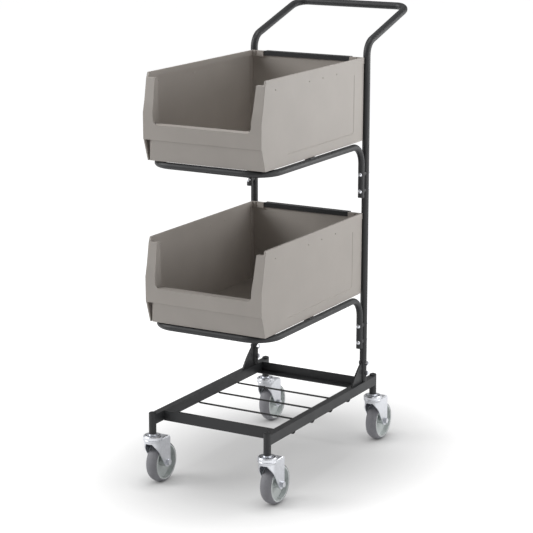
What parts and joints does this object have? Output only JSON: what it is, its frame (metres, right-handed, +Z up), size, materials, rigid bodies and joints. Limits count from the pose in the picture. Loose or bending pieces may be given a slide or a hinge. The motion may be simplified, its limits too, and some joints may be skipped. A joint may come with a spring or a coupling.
{
  "type": "mobile bin cart",
  "caption": "Wheeled tube-frame cart with a raised rear handle that carries open-front picking bins one above the other on bent-tube trays.",
  "frame": {"origin": "on the floor, under the middle of the cart's box", "axes": "+Z up, -Y to the front where the bins open, +X to the right seen from the front"},
  "size_m": [0.3664, 0.752, 1.1125],
  "materials": {
    "black_steel": "fine satin powder coat over steel tube",
    "black_plastic": "moulded polyethylene, matt",
    "zinc_steel": "bright zinc plate over pressed steel",
    "zinc_fastener": "bright zinc plate",
    "bearing_steel": "polished balls",
    "hub_plastic": "moulded polypropylene, pale grey-green",
    "tread_rubber": "grey non-marking rubber",
    "bin_plastic": "moulded polypropylene, warm stone grey, fine grain"
  },
  "bodies": {
    "cart_frame": {"handle_frame": "black_steel", "side_rail_left": "black_steel", "side_rail_right": "black_steel", "front_cross_angle": "black_steel", "rear_cross_angle": "black_steel", "base_wires": "black_steel", "caster_socket_front_left": "black_steel", "caster_socket_front_right": "black_steel", "caster_socket_rear_left": "black_steel", "caster_socket_rear_right": "black_steel", "socket_caps": "black_plastic", "caster_stem_front_left": "zinc_steel", "caster_stem_front_right": "zinc_steel", "caster_stem_rear_left": "zinc_steel", "caster_stem_rear_right": "zinc_steel", "foot_plate_left": "black_steel", "foot_plate_right": "black_steel", "foot_bolts": "zinc_fastener", "foot_nuts": "zinc_fastener", "tray_tube_upper": "black_steel", "tray_tube_lower": "black_steel", "tray_pads_upper": "black_plastic", "tray_pads_lower": "black_plastic", "tray_end_plugs": "black_plastic", "tray_spacers": "black_steel", "tray_bolts": "zinc_fastener", "tray_nuts": "zinc_fastener"},
    "caster_front_left": {"caster_fork_front_left": "zinc_steel", "caster_balls_front_left": "bearing_steel", "caster_axle_front_left": "zinc_fastener", "caster_nut_front_left": "zinc_fastener", "caster_bush_front_left": "zinc_steel"},
    "wheel_front_left": {"caster_hub_front_left": "hub_plastic", "caster_tyre_front_left": "tread_rubber"},
    "caster_front_right": {"caster_fork_front_right": "zinc_steel", "caster_balls_front_right": "bearing_steel", "caster_axle_front_right": "zinc_fastener", "caster_nut_front_right": "zinc_fastener", "caster_bush_front_right": "zinc_steel"},
    "wheel_front_right": {"caster_hub_front_right": "hub_plastic", "caster_tyre_front_right": "tread_rubber"},
    "caster_rear_left": {"caster_fork_rear_left": "zinc_steel", "caster_balls_rear_left": "bearing_steel", "caster_axle_rear_left": "zinc_fastener", "caster_nut_rear_left": "zinc_fastener", "caster_bush_rear_left": "zinc_steel"},
    "wheel_rear_left": {"caster_hub_rear_left": "hub_plastic", "caster_tyre_rear_left": "tread_rubber"},
    "caster_rear_right": {"caster_fork_rear_right": "zinc_steel", "caster_balls_rear_right": "bearing_steel", "caster_axle_rear_right": "zinc_fastener", "caster_nut_rear_right": "zinc_fastener", "caster_bush_rear_right": "zinc_steel"},
    "wheel_rear_right": {"caster_hub_rear_right": "hub_plastic", "caster_tyre_rear_right": "tread_rubber"},
    "bin_upper_body": {"bin_upper": "bin_plastic", "bin_bar_upper": "black_steel"},
    "bin_lower_body": {"bin_lower": "bin_plastic", "bin_bar_lower": "black_steel"}
  },
  "joints": [
    {"name": "swivel_front_left", "type": "hinge", "parent": "cart_frame", "child": "caster_front_left", "pos_m": [-0.158, -0.35155, 0.12], "axis": [0, 0, 1], "continuous": true},
    {"name": "wheel_spin_front_left", "type": "hinge", "parent": "caster_front_left", "child": "wheel_front_left", "pos_m": [-0.158, -0.31555, 0.05], "axis": [1, 0, 0], "continuous": true},
    {"name": "swivel_front_right", "type": "hinge", "parent": "cart_frame", "child": "caster_front_right", "pos_m": [0.158, -0.35155, 0.12], "axis": [0, 0, 1], "continuous": true},
    {"name": "wheel_spin_front_right", "type": "hinge", "parent": "caster_front_right", "child": "wheel_front_right", "pos_m": [0.158, -0.31555, 0.05], "axis": [1, 0, 0], "continuous": true},
    {"name": "swivel_rear_left", "type": "hinge", "parent": "cart_frame", "child": "caster_rear_left", "pos_m": [-0.158, 0.19645, 0.12], "axis": [0, 0, 1], "continuous": true},
    {"name": "wheel_spin_rear_left", "type": "hinge", "parent": "caster_rear_left", "child": "wheel_rear_left", "pos_m": [-0.158, 0.23245, 0.05], "axis": [1, 0, 0], "continuous": true},
    {"name": "swivel_rear_right", "type": "hinge", "parent": "cart_frame", "child": "caster_rear_right", "pos_m": [0.158, 0.19645, 0.12], "axis": [0, 0, 1], "continuous": true},
    {"name": "wheel_spin_rear_right", "type": "hinge", "parent": "caster_rear_right", "child": "wheel_rear_right", "pos_m": [0.158, 0.23245, 0.05], "axis": [1, 0, 0], "continuous": true},
    {"name": "bin_upper_draw", "type": "slide", "parent": "cart_frame", "child": "bin_upper_body", "axis": [0, -1, 0], "range_m": [0, 0.22]},
    {"name": "bin_lower_draw", "type": "slide", "parent": "cart_frame", "child": "bin_lower_body", "axis": [0, -1, 0], "range_m": [0, 0.22]}
  ]
}
